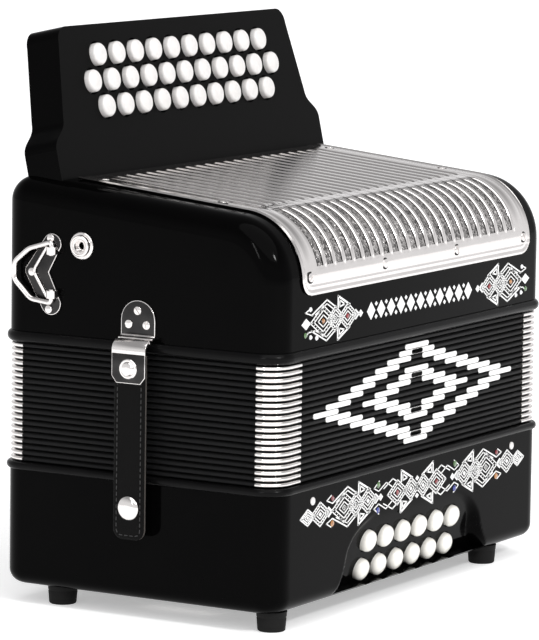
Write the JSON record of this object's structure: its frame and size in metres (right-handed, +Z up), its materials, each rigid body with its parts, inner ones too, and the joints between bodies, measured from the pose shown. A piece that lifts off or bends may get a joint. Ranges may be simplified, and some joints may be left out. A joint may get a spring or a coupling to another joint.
{
  "type": "button accordion",
  "caption": "Diatonic button accordion: treble and bass casings joined by sliding bellows, sprung lever and push-rod buttons, nickel grille, straps and loops.",
  "frame": {"origin": "on the surface the feet stand on, under the middle of the casings", "axes": "+Z up from the bass end to the treble end, X along the width of the casings, the playing front faces -Y"},
  "size_m": [0.3362, 0.1878, 0.3205],
  "materials": {
    "black_lacquer": "polished lacquer over wood",
    "nickel": "polished",
    "spruce": "bare",
    "bellows_cloth": "cloth over folded card",
    "rubber": "matte",
    "leather": "smooth",
    "pearl": "pearl",
    "ivory": "smooth"
  },
  "bodies": {
    "bass_end": {"bass_casing": "black_lacquer", "rubber_feet": "rubber", "bass_soundboard": "spruce", "bass_bellows_frame": "black_lacquer", "hand_strap": "leather", "bellows": "bellows_cloth"},
    "treble_end": {"treble_casing": "black_lacquer", "treble_grille": "nickel", "fingerboard": "black_lacquer", "treble_soundboard": "spruce", "treble_fittings": "nickel", "treble_bellows_frame": "black_lacquer"},
    "treble_key_upper_01": {"treble_key_upper_01": "pearl"},
    "treble_key_upper_02": {"treble_key_upper_02": "pearl"},
    "treble_key_upper_03": {"treble_key_upper_03": "pearl"},
    "treble_key_upper_04": {"treble_key_upper_04": "pearl"},
    "treble_key_upper_05": {"treble_key_upper_05": "pearl"},
    "treble_key_upper_06": {"treble_key_upper_06": "pearl"},
    "treble_key_upper_07": {"treble_key_upper_07": "pearl"},
    "treble_key_upper_08": {"treble_key_upper_08": "pearl"},
    "treble_key_upper_09": {"treble_key_upper_09": "pearl"},
    "treble_key_upper_10": {"treble_key_upper_10": "pearl"},
    "treble_key_middle_01": {"treble_key_middle_01": "pearl"},
    "treble_key_middle_02": {"treble_key_middle_02": "pearl"},
    "treble_key_middle_03": {"treble_key_middle_03": "pearl"},
    "treble_key_middle_04": {"treble_key_middle_04": "pearl"},
    "treble_key_middle_05": {"treble_key_middle_05": "pearl"},
    "treble_key_middle_06": {"treble_key_middle_06": "pearl"},
    "treble_key_middle_07": {"treble_key_middle_07": "pearl"},
    "treble_key_middle_08": {"treble_key_middle_08": "pearl"},
    "treble_key_middle_09": {"treble_key_middle_09": "pearl"},
    "treble_key_middle_10": {"treble_key_middle_10": "pearl"},
    "treble_key_middle_11": {"treble_key_middle_11": "pearl"},
    "treble_key_lower_01": {"treble_key_lower_01": "pearl"},
    "treble_key_lower_02": {"treble_key_lower_02": "pearl"},
    "treble_key_lower_03": {"treble_key_lower_03": "pearl"},
    "treble_key_lower_04": {"treble_key_lower_04": "pearl"},
    "treble_key_lower_05": {"treble_key_lower_05": "pearl"},
    "treble_key_lower_06": {"treble_key_lower_06": "pearl"},
    "treble_key_lower_07": {"treble_key_lower_07": "pearl"},
    "treble_key_lower_08": {"treble_key_lower_08": "pearl"},
    "treble_key_lower_09": {"treble_key_lower_09": "pearl"},
    "treble_key_lower_10": {"treble_key_lower_10": "pearl"},
    "bass_key_upper_1": {"bass_key_upper_1": "ivory"},
    "bass_key_upper_2": {"bass_key_upper_2": "ivory"},
    "bass_key_upper_3": {"bass_key_upper_3": "ivory"},
    "bass_key_upper_4": {"bass_key_upper_4": "ivory"},
    "bass_key_upper_5": {"bass_key_upper_5": "ivory"},
    "bass_key_upper_6": {"bass_key_upper_6": "ivory"},
    "bass_key_lower_1": {"bass_key_lower_1": "ivory"},
    "bass_key_lower_2": {"bass_key_lower_2": "ivory"},
    "bass_key_lower_3": {"bass_key_lower_3": "ivory"},
    "bass_key_lower_4": {"bass_key_lower_4": "ivory"},
    "bass_key_lower_5": {"bass_key_lower_5": "ivory"},
    "bass_key_lower_6": {"bass_key_lower_6": "ivory"},
    "air_button": {"air_button": "ivory"},
    "bellows_strap_left": {"bellows_strap_left": "leather"},
    "strap_loop_left": {"strap_loop_left": "nickel"},
    "bellows_strap_right": {"bellows_strap_right": "leather"},
    "strap_loop_right": {"strap_loop_right": "nickel"}
  },
  "joints": [
    {"name": "bellows_slide", "type": "slide", "parent": "bass_end", "child": "treble_end", "axis": [0, 0, 1], "range_m": [0, 0.28], "deforming": ["bellows"]},
    {"name": "treble_key_upper_01_press", "type": "hinge", "parent": "treble_end", "child": "treble_key_upper_01", "pos_m": [-0.08775, 0.06437, 0.22259], "axis": [-1, 0, 0], "range_deg": [0, 2.27], "stiffness_Nm_per_rad": 0.6, "springref_deg": -4.58},
    {"name": "treble_key_upper_02_press", "type": "hinge", "parent": "treble_end", "child": "treble_key_upper_02", "pos_m": [-0.06825, 0.06437, 0.22259], "axis": [-1, 0, 0], "range_deg": [0, 2.27], "stiffness_Nm_per_rad": 0.6, "springref_deg": -4.58},
    {"name": "treble_key_upper_03_press", "type": "hinge", "parent": "treble_end", "child": "treble_key_upper_03", "pos_m": [-0.04875, 0.06437, 0.22259], "axis": [-1, 0, 0], "range_deg": [0, 2.27], "stiffness_Nm_per_rad": 0.6, "springref_deg": -4.58},
    {"name": "treble_key_upper_04_press", "type": "hinge", "parent": "treble_end", "child": "treble_key_upper_04", "pos_m": [-0.02925, 0.06437, 0.22259], "axis": [-1, 0, 0], "range_deg": [0, 2.27], "stiffness_Nm_per_rad": 0.6, "springref_deg": -4.58},
    {"name": "treble_key_upper_05_press", "type": "hinge", "parent": "treble_end", "child": "treble_key_upper_05", "pos_m": [-0.00975, 0.06437, 0.22259], "axis": [-1, 0, 0], "range_deg": [0, 2.27], "stiffness_Nm_per_rad": 0.6, "springref_deg": -4.58},
    {"name": "treble_key_upper_06_press", "type": "hinge", "parent": "treble_end", "child": "treble_key_upper_06", "pos_m": [0.00975, 0.06437, 0.22259], "axis": [-1, 0, 0], "range_deg": [0, 2.27], "stiffness_Nm_per_rad": 0.6, "springref_deg": -4.58},
    {"name": "treble_key_upper_07_press", "type": "hinge", "parent": "treble_end", "child": "treble_key_upper_07", "pos_m": [0.02925, 0.06437, 0.22259], "axis": [-1, 0, 0], "range_deg": [0, 2.27], "stiffness_Nm_per_rad": 0.6, "springref_deg": -4.58},
    {"name": "treble_key_upper_08_press", "type": "hinge", "parent": "treble_end", "child": "treble_key_upper_08", "pos_m": [0.04875, 0.06437, 0.22259], "axis": [-1, 0, 0], "range_deg": [0, 2.27], "stiffness_Nm_per_rad": 0.6, "springref_deg": -4.58},
    {"name": "treble_key_upper_09_press", "type": "hinge", "parent": "treble_end", "child": "treble_key_upper_09", "pos_m": [0.06825, 0.06437, 0.22259], "axis": [-1, 0, 0], "range_deg": [0, 2.27], "stiffness_Nm_per_rad": 0.6, "springref_deg": -4.58},
    {"name": "treble_key_upper_10_press", "type": "hinge", "parent": "treble_end", "child": "treble_key_upper_10", "pos_m": [0.08775, 0.06437, 0.22259], "axis": [-1, 0, 0], "range_deg": [0, 2.27], "stiffness_Nm_per_rad": 0.6, "springref_deg": -4.58},
    {"name": "treble_key_middle_01_press", "type": "hinge", "parent": "treble_end", "child": "treble_key_middle_01", "pos_m": [-0.0975, 0.06437, 0.22259], "axis": [-1, 0, 0], "range_deg": [0, 2.78], "stiffness_Nm_per_rad": 0.6, "springref_deg": -4.58},
    {"name": "treble_key_middle_02_press", "type": "hinge", "parent": "treble_end", "child": "treble_key_middle_02", "pos_m": [-0.078, 0.06437, 0.22259], "axis": [-1, 0, 0], "range_deg": [0, 2.78], "stiffness_Nm_per_rad": 0.6, "springref_deg": -4.58},
    {"name": "treble_key_middle_03_press", "type": "hinge", "parent": "treble_end", "child": "treble_key_middle_03", "pos_m": [-0.0585, 0.06437, 0.22259], "axis": [-1, 0, 0], "range_deg": [0, 2.78], "stiffness_Nm_per_rad": 0.6, "springref_deg": -4.58},
    {"name": "treble_key_middle_04_press", "type": "hinge", "parent": "treble_end", "child": "treble_key_middle_04", "pos_m": [-0.039, 0.06437, 0.22259], "axis": [-1, 0, 0], "range_deg": [0, 2.78], "stiffness_Nm_per_rad": 0.6, "springref_deg": -4.58},
    {"name": "treble_key_middle_05_press", "type": "hinge", "parent": "treble_end", "child": "treble_key_middle_05", "pos_m": [-0.0195, 0.06437, 0.22259], "axis": [-1, 0, 0], "range_deg": [0, 2.78], "stiffness_Nm_per_rad": 0.6, "springref_deg": -4.58},
    {"name": "treble_key_middle_06_press", "type": "hinge", "parent": "treble_end", "child": "treble_key_middle_06", "pos_m": [0, 0.06437, 0.22259], "axis": [-1, 0, 0], "range_deg": [0, 2.78], "stiffness_Nm_per_rad": 0.6, "springref_deg": -4.58},
    {"name": "treble_key_middle_07_press", "type": "hinge", "parent": "treble_end", "child": "treble_key_middle_07", "pos_m": [0.0195, 0.06437, 0.22259], "axis": [-1, 0, 0], "range_deg": [0, 2.78], "stiffness_Nm_per_rad": 0.6, "springref_deg": -4.58},
    {"name": "treble_key_middle_08_press", "type": "hinge", "parent": "treble_end", "child": "treble_key_middle_08", "pos_m": [0.039, 0.06437, 0.22259], "axis": [-1, 0, 0], "range_deg": [0, 2.78], "stiffness_Nm_per_rad": 0.6, "springref_deg": -4.58},
    {"name": "treble_key_middle_09_press", "type": "hinge", "parent": "treble_end", "child": "treble_key_middle_09", "pos_m": [0.0585, 0.06437, 0.22259], "axis": [-1, 0, 0], "range_deg": [0, 2.78], "stiffness_Nm_per_rad": 0.6, "springref_deg": -4.58},
    {"name": "treble_key_middle_10_press", "type": "hinge", "parent": "treble_end", "child": "treble_key_middle_10", "pos_m": [0.078, 0.06437, 0.22259], "axis": [-1, 0, 0], "range_deg": [0, 2.78], "stiffness_Nm_per_rad": 0.6, "springref_deg": -4.58},
    {"name": "treble_key_middle_11_press", "type": "hinge", "parent": "treble_end", "child": "treble_key_middle_11", "pos_m": [0.0975, 0.06437, 0.22259], "axis": [-1, 0, 0], "range_deg": [0, 2.78], "stiffness_Nm_per_rad": 0.6, "springref_deg": -4.58},
    {"name": "treble_key_lower_01_press", "type": "hinge", "parent": "treble_end", "child": "treble_key_lower_01", "pos_m": [-0.08775, 0.06437, 0.22259], "axis": [-1, 0, 0], "range_deg": [0, 3.58], "stiffness_Nm_per_rad": 0.6, "springref_deg": -4.58},
    {"name": "treble_key_lower_02_press", "type": "hinge", "parent": "treble_end", "child": "treble_key_lower_02", "pos_m": [-0.06825, 0.06437, 0.22259], "axis": [-1, 0, 0], "range_deg": [0, 3.58], "stiffness_Nm_per_rad": 0.6, "springref_deg": -4.58},
    {"name": "treble_key_lower_03_press", "type": "hinge", "parent": "treble_end", "child": "treble_key_lower_03", "pos_m": [-0.04875, 0.06437, 0.22259], "axis": [-1, 0, 0], "range_deg": [0, 3.58], "stiffness_Nm_per_rad": 0.6, "springref_deg": -4.58},
    {"name": "treble_key_lower_04_press", "type": "hinge", "parent": "treble_end", "child": "treble_key_lower_04", "pos_m": [-0.02925, 0.06437, 0.22259], "axis": [-1, 0, 0], "range_deg": [0, 3.58], "stiffness_Nm_per_rad": 0.6, "springref_deg": -4.58},
    {"name": "treble_key_lower_05_press", "type": "hinge", "parent": "treble_end", "child": "treble_key_lower_05", "pos_m": [-0.00975, 0.06437, 0.22259], "axis": [-1, 0, 0], "range_deg": [0, 3.58], "stiffness_Nm_per_rad": 0.6, "springref_deg": -4.58},
    {"name": "treble_key_lower_06_press", "type": "hinge", "parent": "treble_end", "child": "treble_key_lower_06", "pos_m": [0.00975, 0.06437, 0.22259], "axis": [-1, 0, 0], "range_deg": [0, 3.58], "stiffness_Nm_per_rad": 0.6, "springref_deg": -4.58},
    {"name": "treble_key_lower_07_press", "type": "hinge", "parent": "treble_end", "child": "treble_key_lower_07", "pos_m": [0.02925, 0.06437, 0.22259], "axis": [-1, 0, 0], "range_deg": [0, 3.58], "stiffness_Nm_per_rad": 0.6, "springref_deg": -4.58},
    {"name": "treble_key_lower_08_press", "type": "hinge", "parent": "treble_end", "child": "treble_key_lower_08", "pos_m": [0.04875, 0.06437, 0.22259], "axis": [-1, 0, 0], "range_deg": [0, 3.58], "stiffness_Nm_per_rad": 0.6, "springref_deg": -4.58},
    {"name": "treble_key_lower_09_press", "type": "hinge", "parent": "treble_end", "child": "treble_key_lower_09", "pos_m": [0.06825, 0.06437, 0.22259], "axis": [-1, 0, 0], "range_deg": [0, 3.58], "stiffness_Nm_per_rad": 0.6, "springref_deg": -4.58},
    {"name": "treble_key_lower_10_press", "type": "hinge", "parent": "treble_end", "child": "treble_key_lower_10", "pos_m": [0.08775, 0.06437, 0.22259], "axis": [-1, 0, 0], "range_deg": [0, 3.58], "stiffness_Nm_per_rad": 0.6, "springref_deg": -4.58},
    {"name": "bass_key_upper_1_press", "type": "slide", "parent": "bass_end", "child": "bass_key_upper_1", "axis": [0, 0.9668, 0.2554], "range_m": [0, 0.003], "stiffness_N_per_m": 250, "springref_m": -0.004},
    {"name": "bass_key_upper_2_press", "type": "slide", "parent": "bass_end", "child": "bass_key_upper_2", "axis": [0, 0.9668, 0.2554], "range_m": [0, 0.003], "stiffness_N_per_m": 250, "springref_m": -0.004},
    {"name": "bass_key_upper_3_press", "type": "slide", "parent": "bass_end", "child": "bass_key_upper_3", "axis": [0, 0.9668, 0.2554], "range_m": [0, 0.003], "stiffness_N_per_m": 250, "springref_m": -0.004},
    {"name": "bass_key_upper_4_press", "type": "slide", "parent": "bass_end", "child": "bass_key_upper_4", "axis": [0, 0.9668, 0.2554], "range_m": [0, 0.003], "stiffness_N_per_m": 250, "springref_m": -0.004},
    {"name": "bass_key_upper_5_press", "type": "slide", "parent": "bass_end", "child": "bass_key_upper_5", "axis": [0, 0.9668, 0.2554], "range_m": [0, 0.003], "stiffness_N_per_m": 250, "springref_m": -0.004},
    {"name": "bass_key_upper_6_press", "type": "slide", "parent": "bass_end", "child": "bass_key_upper_6", "axis": [0, 0.9668, 0.2554], "range_m": [0, 0.003], "stiffness_N_per_m": 250, "springref_m": -0.004},
    {"name": "bass_key_lower_1_press", "type": "slide", "parent": "bass_end", "child": "bass_key_lower_1", "axis": [0, 0.9668, 0.2554], "range_m": [0, 0.003], "stiffness_N_per_m": 250, "springref_m": -0.004},
    {"name": "bass_key_lower_2_press", "type": "slide", "parent": "bass_end", "child": "bass_key_lower_2", "axis": [0, 0.9668, 0.2554], "range_m": [0, 0.003], "stiffness_N_per_m": 250, "springref_m": -0.004},
    {"name": "bass_key_lower_3_press", "type": "slide", "parent": "bass_end", "child": "bass_key_lower_3", "axis": [0, 0.9668, 0.2554], "range_m": [0, 0.003], "stiffness_N_per_m": 250, "springref_m": -0.004},
    {"name": "bass_key_lower_4_press", "type": "slide", "parent": "bass_end", "child": "bass_key_lower_4", "axis": [0, 0.9668, 0.2554], "range_m": [0, 0.003], "stiffness_N_per_m": 250, "springref_m": -0.004},
    {"name": "bass_key_lower_5_press", "type": "slide", "parent": "bass_end", "child": "bass_key_lower_5", "axis": [0, 0.9668, 0.2554], "range_m": [0, 0.003], "stiffness_N_per_m": 250, "springref_m": -0.004},
    {"name": "bass_key_lower_6_press", "type": "slide", "parent": "bass_end", "child": "bass_key_lower_6", "axis": [0, 0.9668, 0.2554], "range_m": [0, 0.003], "stiffness_N_per_m": 250, "springref_m": -0.004},
    {"name": "air_button_press", "type": "slide", "parent": "bass_end", "child": "air_button", "axis": [-1, 0, 0], "range_m": [0, 0.004], "stiffness_N_per_m": 400, "springref_m": -0.004},
    {"name": "bellows_strap_left_swing", "type": "hinge", "parent": "treble_end", "child": "bellows_strap_left", "pos_m": [-0.161, -0.001, 0.155], "axis": [0, 1, 0], "range_deg": [0, 80]},
    {"name": "strap_loop_left_swing", "type": "hinge", "parent": "treble_end", "child": "strap_loop_left", "pos_m": [-0.1585, 0.054, 0.1883], "axis": [0, 0, 1], "range_deg": [0, 110]},
    {"name": "bellows_strap_right_swing", "type": "hinge", "parent": "treble_end", "child": "bellows_strap_right", "pos_m": [0.161, -0.001, 0.155], "axis": [0, -1, 0], "range_deg": [0, 80]},
    {"name": "strap_loop_right_swing", "type": "hinge", "parent": "treble_end", "child": "strap_loop_right", "pos_m": [0.1585, 0.054, 0.1883], "axis": [0, 0, -1], "range_deg": [0, 110]}
  ]
}
